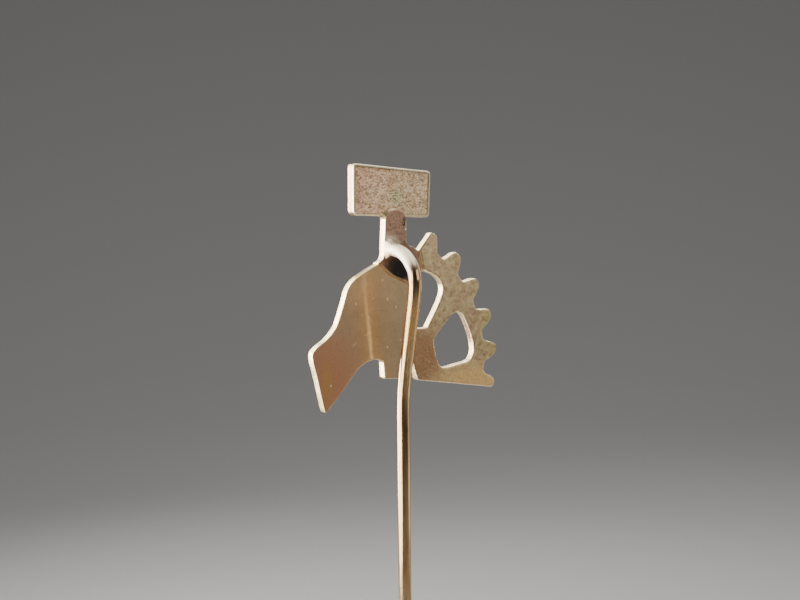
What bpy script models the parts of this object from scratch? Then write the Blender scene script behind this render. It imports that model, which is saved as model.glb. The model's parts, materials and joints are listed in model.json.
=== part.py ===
"""A stick-pin tie tack: a flat pierced emblem soldered up from four plates, carried on a long bent
pin whose point is kept by a small locking clutch.

World frame: +Z up along the straight shaft of the pin, emblem front towards -Y, pin behind it on +Y.
The origin lies on the emblem's flat back, straight in front of the shaft.
"""

import math

import bmesh
import bpy
from mathutils import Vector

MM = 0.001
FIT_GAP = 0.03 * MM           # solder-film gap left between touching pieces

# Emblem plates
PLATE_THICKNESS = 0.85 * MM
HEAD_THICKNESS = 1.0 * MM
TONGUE_THICKNESS = 0.42 * MM  # half-lapped end of the stem, behind the head
HEAD_BACK = -TONGUE_THICKNESS - FIT_GAP
EMBLEM_LEAN = math.radians(2.4)
EMBLEM_OFFSET_X = -0.65 * MM  # stem's centre line, measured from the shaft
EMBLEM_OFFSET_Z = 6.0 * MM

# Gear-shaped plate
GEAR_CENTRE = (1.47 * MM, -9.8 * MM)
GEAR_TIP_RADIUS = 12.5 * MM
GEAR_ROOT_RADIUS = 11.17 * MM
TOOTH_PITCH = math.radians(14.72)
FIRST_TOOTH = math.radians(115.4)
WHOLE_TEETH = 5
TIP_HALF_ANGLE = math.radians(1.2)
RISING_FLANK = math.radians(3.8)
FALLING_FLANK = math.radians(5.6)
FLANK_STEPS = 6

# Pin
PIN_DIAMETER = 1.1 * MM
PIN_STANDOFF = 2.10 * MM      # shaft's centre line behind the emblem's back
PIN_POINT_Z = -45.4 * MM
PIN_TAPER_LENGTH = 5.0 * MM
PIN_TAPER_STEPS = 6
PIN_POINT_SHARE = 0.12        # point's radius as a share of the wire's

# Locking clutch, measured down the shaft from its front face
CLUTCH_FRONT_Z = -37.0 * MM
CLUTCH_BORE = 0.68 * MM
CLUTCH_FLANGE_RADIUS = 2.9 * MM
CLUTCH_BARREL_RADIUS = 2.3 * MM
CLUTCH_BARREL_LENGTH = 5.2 * MM
CLUTCH_LENGTH = 10.0 * MM
CAGE_RADIUS = 1.1 * MM
CAGE_BORE = 0.66 * MM
BALL_RADIUS = 0.4 * MM
BALL_DEPTH = 1.6 * MM
BALL_COUNT = 3
GRIP_GROOVES = 3
GRIP_PITCH = 0.5 * MM
GRIP_DEPTH = 0.15 * MM
CONE_SLOPE = math.tan(math.radians(12.0))
SPRING_TOP = 3.2 * MM
SPRING_LENGTH = 1.64 * MM
SPRING_RADIUS = 1.4 * MM
SPRING_WIRE = 0.2 * MM
SPRING_TURNS = 3.5
TURNED_STEPS = 32


def mm_points(*pairs):
    """Points given in millimetres, as metres."""
    return [tuple(value * MM for value in pair) for pair in pairs]


# Seams where the plates meet, as (x, z) in the emblem's own plane
STEM_WING_SEAM = mm_points(
    (1.61, -1.15), (1.12, -1.54), (0.30, -2.15), (-0.55, -2.50), (-1.32, -2.83), (-1.80, -3.10)
)
STEM_GEAR_SEAM = mm_points((-2.39, 0.05), (-2.88, -1.71))
WING_GEAR_SEAM = mm_points((-1.78, -6.67), (-1.72, -9.55))
SEAM_HALF_GAP = 0.08 * MM

# Outer edges of the plates, clockwise seen from the back, as (x, z)
HEAD_CORNERS = mm_points((4.05, 7.13), (-3.68, 6.87), (-3.64, 2.87), (3.91, 2.78))
HEAD_CORNER_RADII = [0.25 * MM, 0.35 * MM, 0.3 * MM, 0.5 * MM]
WING_OUTER_EDGE = mm_points(
    (2.92, -1.90), (3.90, -2.55), (4.50, -3.35), (4.84, -4.50), (5.25, -5.80), (5.62, -6.65),
    (6.40, -7.50), (7.25, -8.13), (7.66, -8.65), (7.62, -9.35), (7.23, -10.64), (6.55, -13.10),
)
WING_TIP = mm_points((6.40, -13.62), (6.18, -13.55))
WING_LOWER_EDGE = mm_points(
    (5.40, -12.65), (4.20, -11.18), (3.30, -10.05), (2.55, -9.57), (1.65, -9.30)
)
WING_TAB = mm_points(
    (0.95, -9.45), (0.86, -9.60), (0.72, -10.90), (0.60, -11.00), (-1.32, -11.00), (-1.44, -10.88)
)
GEAR_HEEL = mm_points((-10.55, -12.12), (-2.68, -11.22), (-2.58, -11.10), (-2.15, -9.80))
WINDOW_ONE_CORNERS = mm_points((-2.51, -6.67), (-3.49, -6.65))
WINDOW_ONE_ARC = mm_points(
    (-4.12, -5.48), (-4.71, -4.35), (-4.98, -3.48), (-4.86, -2.87), (-4.50, -2.40), (-4.01, -2.08)
)
WINDOW_TWO = mm_points(
    (-6.65, -5.28), (-7.20, -5.60), (-7.65, -6.31), (-7.98, -7.02), (-8.30, -7.83), (-8.47, -8.73),
    (-8.27, -9.40), (-7.88, -9.69), (-6.60, -9.96), (-5.22, -10.18), (-4.72, -9.65),
    (-4.44, -8.80), (-4.27, -8.15), (-4.35, -7.55), (-4.70, -7.06), (-5.41, -6.28), (-6.13, -5.52),
)

# Pin's route from its foot on the stem to the straight shaft, in the world frame
PIN_ROUTE = mm_points(
    (-0.11, 0.05, 6.06), (-0.11, 0.35, 6.07), (-0.11, 0.90, 6.03), (-0.10, 1.75, 5.86),
    (-0.09, 2.60, 5.50), (-0.08, 3.33, 4.92), (-0.08, 3.78, 4.30), (-0.08, 3.92, 3.49),
    (-0.08, 3.76, 2.08),
    (-0.07, 3.38, 0.37), (-0.05, 2.93, -1.65), (-0.03, 2.47, -3.88), (-0.01, 2.20, -5.72),
)

SKINS = {
    "head_gold": ((0.55, 0.40, 0.26), 0.5),
    "stem_gold": ((0.27, 0.17, 0.10), 0.5),
    "wing_gold": ((0.42, 0.28, 0.14), 0.35),
    "gear_gold": ((0.52, 0.42, 0.24), 0.45),
    "pin_gold": ((0.70, 0.52, 0.28), 0.25),
    "solder": ((0.60, 0.52, 0.40), 0.4),
    "clutch_gold": ((0.75, 0.56, 0.28), 0.25),
    "steel": ((0.60, 0.60, 0.60), 0.25),
}


def clear_scene():
    for item in list(bpy.data.objects):
        bpy.data.objects.remove(item, do_unlink=True)


def new_collection(name):
    collection = bpy.data.collections.new(name)
    bpy.context.scene.collection.children.link(collection)
    return collection


def new_material(name, colour, roughness):
    material = bpy.data.materials.new(name)
    material.use_nodes = True
    shader = material.node_tree.nodes["Principled BSDF"]
    shader.inputs["Base Color"].default_value = (*colour, 1.0)
    shader.inputs["Roughness"].default_value = roughness
    shader.inputs["Metallic"].default_value = 1.0
    return material


def add_object(name, data, collection, material=None, parent=None):
    item = bpy.data.objects.new(name, data)
    collection.objects.link(item)
    item.parent = parent
    if material:
        data.materials.append(material)
    return item


def shade_smooth(item, sharp_angle=math.radians(30)):
    item.data.shade_smooth()
    item.data.set_sharp_from_angle(angle=sharp_angle)


def as_mesh(source):
    """The evaluated shape of an object as a mesh of its own, with loose caps welded on."""
    bpy.context.view_layer.update()
    evaluated = source.evaluated_get(bpy.context.evaluated_depsgraph_get())
    mesh = bpy.data.meshes.new_from_object(evaluated)
    shape = bmesh.new()
    shape.from_mesh(mesh)
    bmesh.ops.remove_doubles(shape, verts=shape.verts, dist=1e-7)
    shape.to_mesh(mesh)
    shape.free()
    item = bpy.data.objects.new(source.name, mesh)
    item.matrix_world = source.matrix_world
    for collection in source.users_collection:
        collection.objects.link(item)
    name = source.name
    bpy.data.objects.remove(source, do_unlink=True)
    item.name = name
    return item


def box_cutter(name, low, high, collection, parent=None):
    """A wire-displayed box between two corners, used only to cut."""
    mesh = bpy.data.meshes.new(name)
    shape = bmesh.new()
    bmesh.ops.create_cube(shape, size=1.0)
    size = Vector(high) - Vector(low)
    bmesh.ops.scale(shape, vec=size, verts=shape.verts)
    bmesh.ops.translate(shape, vec=(Vector(low) + Vector(high)) / 2, verts=shape.verts)
    shape.to_mesh(mesh)
    shape.free()
    return hide_cutter(add_object(name, mesh, collection, parent=parent))


def hide_cutter(item):
    item.hide_render = True
    item.display_type = "WIRE"
    return item


def ball_angles():
    return [math.tau * number / BALL_COUNT for number in range(BALL_COUNT)]


def cut(item, cutter):
    boolean = item.modifiers.new(cutter.name, "BOOLEAN")
    boolean.operation = "DIFFERENCE"
    boolean.object = cutter


def offset_line(points, distance):
    """An open line moved sideways: to the left of its direction when distance is positive."""
    moved = []
    for index, point in enumerate(points):
        before = points[max(index - 1, 0)]
        after = points[min(index + 1, len(points) - 1)]
        along = (Vector(after) - Vector(before)).normalized()
        moved.append((point[0] - along.y * distance, point[1] + along.x * distance))
    return moved


def ribbon(points, half_width):
    """Closed outline of a band laid along an open line."""
    return offset_line(points, half_width) + offset_line(points, -half_width)[::-1]


def rounded_corners(corners, radii, steps=5):
    """A polygon with each corner replaced by an arc of its own radius."""
    outline = []
    for index, (corner, radius) in enumerate(zip(corners, radii)):
        here = Vector(corner)
        back = (Vector(corners[index - 1]) - here).normalized()
        ahead = (Vector(corners[(index + 1) % len(corners)]) - here).normalized()
        half = back.angle(ahead) / 2
        centre = here + (back + ahead).normalized() * radius / math.sin(half)
        start = here + back * radius / math.tan(half) - centre
        end = here + ahead * radius / math.tan(half) - centre
        for step in range(steps + 1):
            outline.append(tuple(centre + radius * start.slerp(end, step / steps)))
    return outline


def smooth_line(points, steps):
    """Points along a smooth curve through the given ones (Catmull-Rom)."""
    ends = [Vector(point) for point in points]
    ends = [2 * ends[0] - ends[1], *ends, 2 * ends[-1] - ends[-2]]
    route = []
    for index in range(1, len(ends) - 2):
        before, start, end, after = ends[index - 1 : index + 3]
        for step in range(steps):
            t = step / steps
            route.append(
                0.5 * (2 * start + (end - before) * t
                       + (2 * before - 5 * start + 4 * end - after) * t**2
                       + (3 * start - before - 3 * end + after) * t**3)
            )
    route.append(ends[-2])
    return [tuple(point) for point in route]


def poly_spline(curve, points, closed=True, radii=None):
    spline = curve.splines.new("POLY")
    spline.points.add(len(points) - 1)
    for index, point in enumerate(points):
        place = point if len(point) == 3 else (*point, 0.0)
        spline.points[index].co = (*place, 1.0)
        if radii:
            spline.points[index].radius = radii[index]
    spline.use_cyclic_u = closed


def flat_plate(name, outlines, back, thickness, collection, material=None, parent=None):
    """A plate of flat stock from closed outlines in X and Z, its back face at Y = back."""
    curve = bpy.data.curves.new(name, "CURVE")
    curve.dimensions = "2D"
    curve.fill_mode = "BOTH"
    curve.extrude = thickness / 2
    for outline in outlines:
        poly_spline(curve, outline)
    plate = add_object(name, curve, collection, material, parent)
    plate.rotation_euler.x = math.pi / 2
    plate.location.y = back - thickness / 2
    return plate


def wire(name, points, diameter, collection, material, radii=None, sides=3):
    """A round wire with closed ends along an open line."""
    curve = bpy.data.curves.new(name, "CURVE")
    curve.dimensions = "3D"
    curve.bevel_depth = diameter / 2
    curve.bevel_resolution = sides
    curve.use_fill_caps = True
    poly_spline(curve, points, closed=False, radii=radii)
    return add_object(name, curve, collection, material)


def turned(name, profile, collection, material=None, parent=None, steps=TURNED_STEPS):
    """A shape turned about its local Z from a profile of (radius, height) that runs down its outer
    side. A profile that starts and ends on the axis is open there; any other is closed."""
    mesh = bpy.data.meshes.new(name)
    count = len(profile)
    edges = [(index, (index + 1) % count) for index in range(count)]
    if profile[0][0] == 0 and profile[-1][0] == 0:
        edges.pop()
    mesh.from_pydata([(radius, 0.0, height) for radius, height in profile], edges, [])
    item = add_object(name, mesh, collection, material, parent)
    screw = item.modifiers.new("turn", "SCREW")
    screw.steps = steps
    screw.render_steps = steps
    screw.use_merge_vertices = True
    screw.merge_threshold = 1e-7
    return item


def arc_points(centre, radius, start, end, steps):
    """Points of a circular arc between two angles in degrees."""
    return [
        (centre[0] + radius * math.cos(math.radians(start + (end - start) * step / steps)),
         centre[1] + radius * math.sin(math.radians(start + (end - start) * step / steps)))
        for step in range(steps + 1)
    ]


def gear_point(angle, radius):
    return (GEAR_CENTRE[0] + radius * math.cos(angle), GEAR_CENTRE[1] + radius * math.sin(angle))


def tooth_points(centre_angle, start, end):
    """Rim points of one tooth between two offsets from its middle; offsets grow down the rim."""
    depth = GEAR_TIP_RADIUS - GEAR_ROOT_RADIUS
    shares = [step / FLANK_STEPS for step in range(FLANK_STEPS + 1)]
    rising = [-TIP_HALF_ANGLE - RISING_FLANK * share for share in reversed(shares)]
    falling = [TIP_HALF_ANGLE + FALLING_FLANK * share for share in shares]
    points = []
    for offset in rising + falling:
        if not start <= offset <= end:
            continue
        flank = RISING_FLANK if offset < 0 else FALLING_FLANK
        down = (abs(offset) - TIP_HALF_ANGLE) / flank
        height = 0.5 * (1 + math.cos(math.pi * down))
        points.append(gear_point(centre_angle + offset, GEAR_ROOT_RADIUS + depth * height))
    return points


def head_plate(parts, skins, emblem):
    outline = rounded_corners(HEAD_CORNERS, HEAD_CORNER_RADII)
    flat_plate("head_plate", [outline], HEAD_BACK, HEAD_THICKNESS, parts, skins["head_gold"], emblem)


def stem_plate(parts, cutters, skins, emblem):
    """The neck with its round end half-lapped behind the head, and the pad that carries the pin."""
    neck_half = 1.07 * MM
    end_centre = 2.40 * MM
    round_end = arc_points((0, end_centre), neck_half, 180, 0, 14)
    pad_left = mm_points((1.08, 0.10), (1.10, -0.55), (1.20, -0.80), (1.48, -1.03))
    wing_side = offset_line(STEM_WING_SEAM, -SEAM_HALF_GAP)
    gear_side = offset_line(STEM_GEAR_SEAM, SEAM_HALF_GAP)[::-1]
    pad_right = mm_points((-2.00, 0.22), (-1.30, 0.42), (-1.10, 0.80))
    outline = round_end + pad_left + wing_side + gear_side + pad_right
    curve = flat_plate("stem_plate", [outline], 0.0, PLATE_THICKNESS, parts)
    stem = as_mesh(curve)
    stem.data.materials.append(skins["stem_gold"])
    stem.parent = emblem
    lap_low = (-2 * MM, -PLATE_THICKNESS - 1 * MM, 2.78 * MM)
    lap_high = (2 * MM, -TONGUE_THICKNESS, 5 * MM)
    cut(stem, box_cutter("lap_cutter", lap_low, lap_high, cutters, emblem))


def wing_plate(parts, skins, emblem):
    """The left-hand plate: a swept outer edge down to a point, and a small square tab."""
    start = offset_line(STEM_WING_SEAM, SEAM_HALF_GAP)
    outer = smooth_line([start[0], *WING_OUTER_EDGE, WING_TIP[0]], 4)
    lower = smooth_line([WING_TIP[1], *WING_LOWER_EDGE, WING_TAB[0]], 4)
    gear_side = offset_line(WING_GEAR_SEAM, SEAM_HALF_GAP)[::-1]
    outline = outer + lower + WING_TAB[1:] + gear_side + start[:0:-1]
    flat_plate("wing_plate", [outline], 0.0, PLATE_THICKNESS, parts, skins["wing_gold"], emblem)


def gear_plate(parts, skins, emblem):
    """The right-hand plate: a part of a toothed ring with a hub corner and two windows."""
    stem_side = offset_line(STEM_GEAR_SEAM, -SEAM_HALF_GAP)
    rim = tooth_points(FIRST_TOOTH, -TIP_HALF_ANGLE, TOOTH_PITCH)
    for number in range(1, WHOLE_TEETH):
        rim += tooth_points(FIRST_TOOTH + number * TOOTH_PITCH, -TOOTH_PITCH, TOOTH_PITCH)
    rim += tooth_points(FIRST_TOOTH + WHOLE_TEETH * TOOTH_PITCH, -TOOTH_PITCH, TIP_HALF_ANGLE)
    wing_side = offset_line(WING_GEAR_SEAM, -SEAM_HALF_GAP)[::-1]
    window = smooth_line([WINDOW_ONE_CORNERS[1], *WINDOW_ONE_ARC, stem_side[1]], 3)
    outline = [stem_side[0], *rim, *GEAR_HEEL, *wing_side, WINDOW_ONE_CORNERS[0], *window]
    hole = smooth_line([*WINDOW_TWO, WINDOW_TWO[0]], 2)[:-1]
    flat_plate("gear_plate", [outline, hole], 0.0, PLATE_THICKNESS, parts, skins["gear_gold"], emblem)


def seam_solder(parts, skins, emblem):
    """The solder that fills the seams between the plates, a little proud of their backs."""
    proud = 0.04 * MM
    for name, seam in (
        ("solder_stem_wing", STEM_WING_SEAM),
        ("solder_stem_gear", STEM_GEAR_SEAM),
        ("solder_wing_gear", WING_GEAR_SEAM),
    ):
        outline = ribbon(seam, SEAM_HALF_GAP - FIT_GAP)
        flat_plate(name, [outline], proud, PLATE_THICKNESS, parts, skins["solder"], emblem)


def head_lap_solder(parts, skins, emblem):
    """A fillet in the corner between the neck and the head's lower edge."""
    corner = (1.07 * MM + FIT_GAP, 2.75 * MM)
    reach = 0.25 * MM
    hollow = arc_points((corner[0] + reach, corner[1] - reach), reach, 90, 180, 6)
    outline = [corner, *hollow]
    flat_plate("solder_head_lap", [outline], -0.15 * MM, 0.6 * MM, parts, skins["solder"], emblem)


def pin_foot_solder(parts, cutters, skins):
    """A hollow-sided collar of solder round the pin's foot, trimmed flush with the neck."""
    foot = Vector(PIN_ROUTE[0])
    base = 0.95 * MM
    bore = PIN_DIAMETER / 2 + 2 * FIT_GAP
    height = 0.5 * MM
    crown = bore + 0.08 * MM
    hollow_side = arc_points((base, height), base - crown, 180, 270, 5)
    profile = [*hollow_side, (base, 0.0), (bore, 0.0), (bore, height)]
    collar = turned("solder_pin_foot", profile, parts, skins["solder"])
    collar.rotation_euler.x = -math.pi / 2
    collar.location = (foot.x, FIT_GAP, foot.z)
    trim_low = (foot.x + PIN_DIAMETER / 2 - FIT_GAP, -1 * MM, foot.z - 2 * MM)
    trim_high = (foot.x + 3 * MM, 2 * MM, foot.z + 2 * MM)
    cut(collar, box_cutter("collar_cutter", trim_low, trim_high, cutters))


def pin_wire(parts, skins):
    """The pin: foot, arch, slanting upper part and straight shaft, drawn to a point."""
    taper_start = PIN_POINT_Z + PIN_TAPER_LENGTH
    shaft = [(0.0, PIN_STANDOFF, height * MM) for height in (-7.5, -9.5, -14.0)]
    bends = smooth_line([*PIN_ROUTE, *shaft], 3)
    steps = [step / PIN_TAPER_STEPS for step in range(PIN_TAPER_STEPS + 1)]
    point = [(0.0, PIN_STANDOFF, taper_start - PIN_TAPER_LENGTH * share) for share in steps]
    shares = [1 - (1 - PIN_POINT_SHARE) * share**1.5 for share in steps]
    radii = [1.0] * len(bends) + shares
    wire("pin_wire", bends + point, PIN_DIAMETER, parts, skins["pin_gold"], radii, sides=4)


def clutch_shell(parts, skins, slide):
    """Front half of the clutch: the flange that meets the cloth, the barrel and the ball cone."""
    throat = 0.7 * MM
    cone_top = 0.8 * MM
    cone_foot = 3.0 * MM
    contact = PIN_DIAMETER / 2 + 2 * BALL_RADIUS + 4 * FIT_GAP
    top_radius = contact - (BALL_DEPTH - cone_top) * CONE_SLOPE
    foot_radius = contact + (cone_foot - BALL_DEPTH) * CONE_SLOPE
    bore = foot_radius + 0.05 * MM
    flange = arc_points((CLUTCH_FLANGE_RADIUS - 0.25 * MM, -0.25 * MM), 0.25 * MM, 90, -90, 6)
    profile = [
        *flange,
        (CLUTCH_BARREL_RADIUS, -0.75 * MM),
        (CLUTCH_BARREL_RADIUS, 0.1 * MM - CLUTCH_BARREL_LENGTH),
        (CLUTCH_BARREL_RADIUS - 0.1 * MM, -CLUTCH_BARREL_LENGTH),
        (bore, -CLUTCH_BARREL_LENGTH),
        (bore, -cone_foot),
        (foot_radius, -cone_foot),
        (top_radius, -cone_top),
        (CLUTCH_BORE, -throat),
        (CLUTCH_BORE, 0.0),
    ]
    turned("clutch_shell", profile, parts, skins["clutch_gold"], slide)
    return bore


def clutch_retainer(parts, skins, slide, bore):
    """The ring pressed into the barrel's mouth, which the spring stands on."""
    outer = bore - FIT_GAP
    inner = CAGE_RADIUS + 0.1 * MM
    top = -SPRING_TOP - SPRING_LENGTH - 2 * FIT_GAP
    foot = -CLUTCH_BARREL_LENGTH
    profile = [(outer, top), (outer, foot), (inner, foot), (inner, top)]
    turned("clutch_retainer", profile, parts, skins["steel"], slide)


def clutch_cap(parts, cutters, skins, pull):
    """Back half of the clutch: a bullet-shaped cap with the slim cage that carries the balls."""
    cage_top = -1.1 * MM
    bore_floor = 1.0 * MM - CLUTCH_LENGTH
    shoulder_top = -2.86 * MM
    shoulder_foot = -SPRING_TOP + 2 * FIT_GAP
    shoulder_radius = 1.5 * MM
    cap_top = -CLUTCH_BARREL_LENGTH - 0.15 * MM
    edge = 0.1 * MM
    grip = []
    for number in range(GRIP_GROOVES):
        top = cap_top - 0.45 * MM - number * GRIP_PITCH
        grip += [
            (CLUTCH_BARREL_RADIUS, top),
            (CLUTCH_BARREL_RADIUS - GRIP_DEPTH, top - edge),
            (CLUTCH_BARREL_RADIUS - GRIP_DEPTH, top - 2 * edge),
            (CLUTCH_BARREL_RADIUS, top - 3 * edge),
        ]
    nose_centre = CLUTCH_BARREL_RADIUS - CLUTCH_LENGTH
    nose = arc_points((0, nose_centre), CLUTCH_BARREL_RADIUS, 0, -90, 8)
    profile = [
        (0.0, bore_floor),
        (CAGE_BORE, bore_floor + 0.4 * MM),
        (CAGE_BORE, cage_top),
        (CAGE_RADIUS, cage_top),
        (CAGE_RADIUS, shoulder_top),
        (shoulder_radius, shoulder_top),
        (shoulder_radius, shoulder_foot),
        (CAGE_RADIUS, shoulder_foot),
        (CAGE_RADIUS, cap_top),
        (CLUTCH_BARREL_RADIUS - edge, cap_top),
        (CLUTCH_BARREL_RADIUS, cap_top - edge),
        *grip,
        *nose[:-1],
        (0.0, -CLUTCH_LENGTH),
    ]
    cap = turned("clutch_cap", profile, parts, skins["clutch_gold"], pull)
    for number, angle in enumerate(ball_angles(), start=1):
        mesh = bpy.data.meshes.new(f"ball_pocket_cutter_{number}")
        shape = bmesh.new()
        bmesh.ops.create_cone(
            shape, cap_ends=True, segments=16, radius1=BALL_RADIUS + FIT_GAP,
            radius2=BALL_RADIUS + FIT_GAP, depth=1.6 * MM,
        )
        shape.to_mesh(mesh)
        shape.free()
        pocket = hide_cutter(add_object(mesh.name, mesh, cutters, parent=pull))
        pocket.rotation_euler = (0, math.pi / 2, angle)
        pocket.location = (1.2 * MM * math.cos(angle), 1.2 * MM * math.sin(angle), -BALL_DEPTH)
        cut(cap, pocket)


def clutch_balls(parts, skins, pull):
    """The balls that wedge between the cone and the pin."""
    reach = PIN_DIAMETER / 2 + BALL_RADIUS + FIT_GAP
    for number, angle in enumerate(ball_angles(), start=1):
        mesh = bpy.data.meshes.new(f"clutch_ball_{number}")
        shape = bmesh.new()
        bmesh.ops.create_uvsphere(shape, u_segments=16, v_segments=10, radius=BALL_RADIUS)
        shape.to_mesh(mesh)
        shape.free()
        ball = add_object(mesh.name, mesh, parts, skins["steel"], pull)
        ball.location = (reach * math.cos(angle), reach * math.sin(angle), -BALL_DEPTH)
        shade_smooth(ball)


def clutch_spring(parts, skins, pull):
    """The coil spring that draws the cap's cage up into the cone."""
    steps = 14
    count = int(SPRING_TURNS * steps)
    rise = SPRING_LENGTH - SPRING_WIRE
    points = []
    for index in range(count + 1):
        angle = math.tau * index / steps
        level = -SPRING_TOP - SPRING_WIRE / 2 - rise * index / count
        points.append((SPRING_RADIUS * math.cos(angle), SPRING_RADIUS * math.sin(angle), level))
    spring = wire("clutch_spring", points, SPRING_WIRE, parts, skins["steel"], sides=1)
    spring.parent = pull


def main():
    clear_scene()
    parts = new_collection("tie_tack")
    cutters = new_collection("cutters")
    skins = {name: new_material(name, *values) for name, values in SKINS.items()}
    emblem = add_object("emblem_frame", None, parts)
    emblem.location = (EMBLEM_OFFSET_X, 0.0, EMBLEM_OFFSET_Z)
    emblem.rotation_euler.y = -EMBLEM_LEAN
    slide = add_object("clutch_slide_axis", None, parts)
    slide.location = (0.0, PIN_STANDOFF, CLUTCH_FRONT_Z)
    pull = add_object("cap_pull_axis", None, parts, parent=slide)
    head_plate(parts, skins, emblem)
    stem_plate(parts, cutters, skins, emblem)
    wing_plate(parts, skins, emblem)
    gear_plate(parts, skins, emblem)
    seam_solder(parts, skins, emblem)
    head_lap_solder(parts, skins, emblem)
    pin_foot_solder(parts, cutters, skins)
    pin_wire(parts, skins)
    bore = clutch_shell(parts, skins, slide)
    clutch_retainer(parts, skins, slide, bore)
    clutch_cap(parts, cutters, skins, pull)
    clutch_balls(parts, skins, pull)
    clutch_spring(parts, skins, pull)


main()
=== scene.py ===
"""The look of a stick-pin tie tack: a flat soldered emblem on a long bent pin with a small clutch.

Shapes are worked out in millimetres and turned into metres as each mesh is made.
"""

import json
import math

import bmesh
import bpy
import numpy as np
from mathutils import Euler, Matrix, Vector, geometry, kdtree, noise


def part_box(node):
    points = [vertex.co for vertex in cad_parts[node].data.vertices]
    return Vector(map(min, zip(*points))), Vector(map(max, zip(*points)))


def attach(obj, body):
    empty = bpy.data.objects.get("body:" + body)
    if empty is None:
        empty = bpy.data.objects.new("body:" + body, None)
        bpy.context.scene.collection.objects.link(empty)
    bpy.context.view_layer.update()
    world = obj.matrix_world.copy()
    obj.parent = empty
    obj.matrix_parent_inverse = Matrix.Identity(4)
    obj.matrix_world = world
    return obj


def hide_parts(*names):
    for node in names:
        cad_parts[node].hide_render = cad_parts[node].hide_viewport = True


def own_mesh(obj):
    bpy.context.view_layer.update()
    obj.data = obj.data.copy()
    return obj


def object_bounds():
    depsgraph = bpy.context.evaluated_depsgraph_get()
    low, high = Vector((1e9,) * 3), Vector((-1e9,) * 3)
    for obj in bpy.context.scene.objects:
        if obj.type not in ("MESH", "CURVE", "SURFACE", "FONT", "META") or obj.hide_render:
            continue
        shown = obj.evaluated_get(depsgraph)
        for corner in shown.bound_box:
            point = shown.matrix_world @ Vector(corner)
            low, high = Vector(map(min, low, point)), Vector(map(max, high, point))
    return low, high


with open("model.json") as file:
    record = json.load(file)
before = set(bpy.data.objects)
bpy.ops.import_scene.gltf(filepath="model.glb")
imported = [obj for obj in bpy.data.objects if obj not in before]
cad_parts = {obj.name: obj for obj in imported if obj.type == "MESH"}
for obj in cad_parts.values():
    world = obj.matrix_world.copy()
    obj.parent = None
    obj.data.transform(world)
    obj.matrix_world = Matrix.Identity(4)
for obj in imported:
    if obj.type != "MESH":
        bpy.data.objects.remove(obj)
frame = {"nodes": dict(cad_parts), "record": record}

CAD_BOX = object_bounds()
BODIES = frame["record"]["behaviour"]["bodies"]
MM = 0.001
WELD = 1e-7
FLOOR_GAP = 14.0 * MM

# The emblem's own plane, which leans a little from the pin's shaft
EMBLEM_LEAN = math.radians(2.4)
EMBLEM_OFFSET = (-0.65, 6.0)
PLATE_THICKNESS = 0.85
TONGUE_THICKNESS = 0.42         # of the stem, where it laps behind the head
LAP_START = 2.70                # where the step down to the tongue lies, up the emblem
LAP_END = 2.78
OUTLINE_STEP = 0.06
SHARP_CORNER = math.radians(26)
WALL_ROWS = 8                   # rows of faces across a plate's cut edge
WEAR_REACH = 0.07               # how far in from a corner its rubbing fades

# Pin
PIN_RADIUS = 0.55
PIN_STANDOFF = 2.1
PIN_TAPER = 5.0
PIN_POINT_SHARE = 0.12
PIN_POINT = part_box("pin_wire")[0].z / MM
PIN_ROUTE = [
    (-0.11, 0.05, 6.06), (-0.11, 0.35, 6.07), (-0.11, 0.90, 6.03), (-0.10, 1.75, 5.86),
    (-0.09, 2.60, 5.50), (-0.08, 3.33, 4.92), (-0.08, 3.78, 4.30), (-0.08, 3.92, 3.49),
    (-0.08, 3.76, 2.08), (-0.07, 3.38, 0.37), (-0.05, 2.93, -1.65), (-0.03, 2.47, -3.88),
    (-0.01, 2.20, -5.72), (0.0, 2.10, -7.50), (0.0, 2.10, -9.50), (0.0, 2.10, -14.0),
]

# Solder at the pin's foot
FOOT_HEIGHT = 0.70
FOOT_REACH = 1.12
FOOT_TRIM = 0.52                # from the pin's centre to the edge of the neck
FOOT_SUNK = 0.02

# Bright nicks in the wing's back, as (x, z, reach), and scratches between two points
WING_NICKS = [
    (0.65, 3.49, 0.10), (0.18, 1.87, 0.12), (3.26, 1.58, 0.13), (-0.66, 1.15, 0.10),
    (-1.08, -1.70, 0.09), (0.22, -2.22, 0.12), (5.73, -5.10, 0.12), (2.67, 0.6, 0.07),
    (1.57, 2.0, 0.06),
]
WING_SCRATCHES = [
    ((2.02, 0, 0.50), (1.80, 0, 0.02)), ((2.42, 0, -1.12), (1.90, 0, -0.90)),
    ((3.60, 0, -1.9), (3.28, 0, -1.7)),
]

# Clutch
PROFILE_AZIMUTH = 56.25         # where the turned nodes have points of their own
TURNED_SIDES = 120
BALL_COUNT = 3
BALL_DEPTH = 1.6
POCKET_RADIUS = 0.43
POCKET_LENGTH = 1.6
POCKET_CENTRE = 1.2             # from the axis, in the middle of the cage's wall
CLUTCH_FRONT = -37.0
SPRING_RADIUS = 1.4
SPRING_WIRE = 0.1
SPRING_TURNS = 3.5


# ---- Shapes ----


def smooth_step(value, low, high):
    share = min(1.0, max(0.0, (value - low) / (high - low)))
    return share * share * (3 - 2 * share)


def ripple(x, z, size, seed=0.0):
    """Smooth noise between about -1 and 1, with lumps of the given size."""
    return noise.noise(Vector((x / size + seed, 7.3 * seed, z / size - seed)))


def up_emblem(x, z):
    """Height of a world point in the emblem's own plane."""
    x, z = x - EMBLEM_OFFSET[0], z - EMBLEM_OFFSET[1]
    return z * math.cos(EMBLEM_LEAN) - x * math.sin(EMBLEM_LEAN)


def link_object(name, data):
    """A new object in the scene."""
    item = bpy.data.objects.new(name, data)
    bpy.context.scene.collection.objects.link(item)
    return item


def spend_shape(shape, mesh):
    """Writes a bmesh into a mesh and frees it."""
    shape.to_mesh(mesh)
    shape.free()
    return mesh


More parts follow.
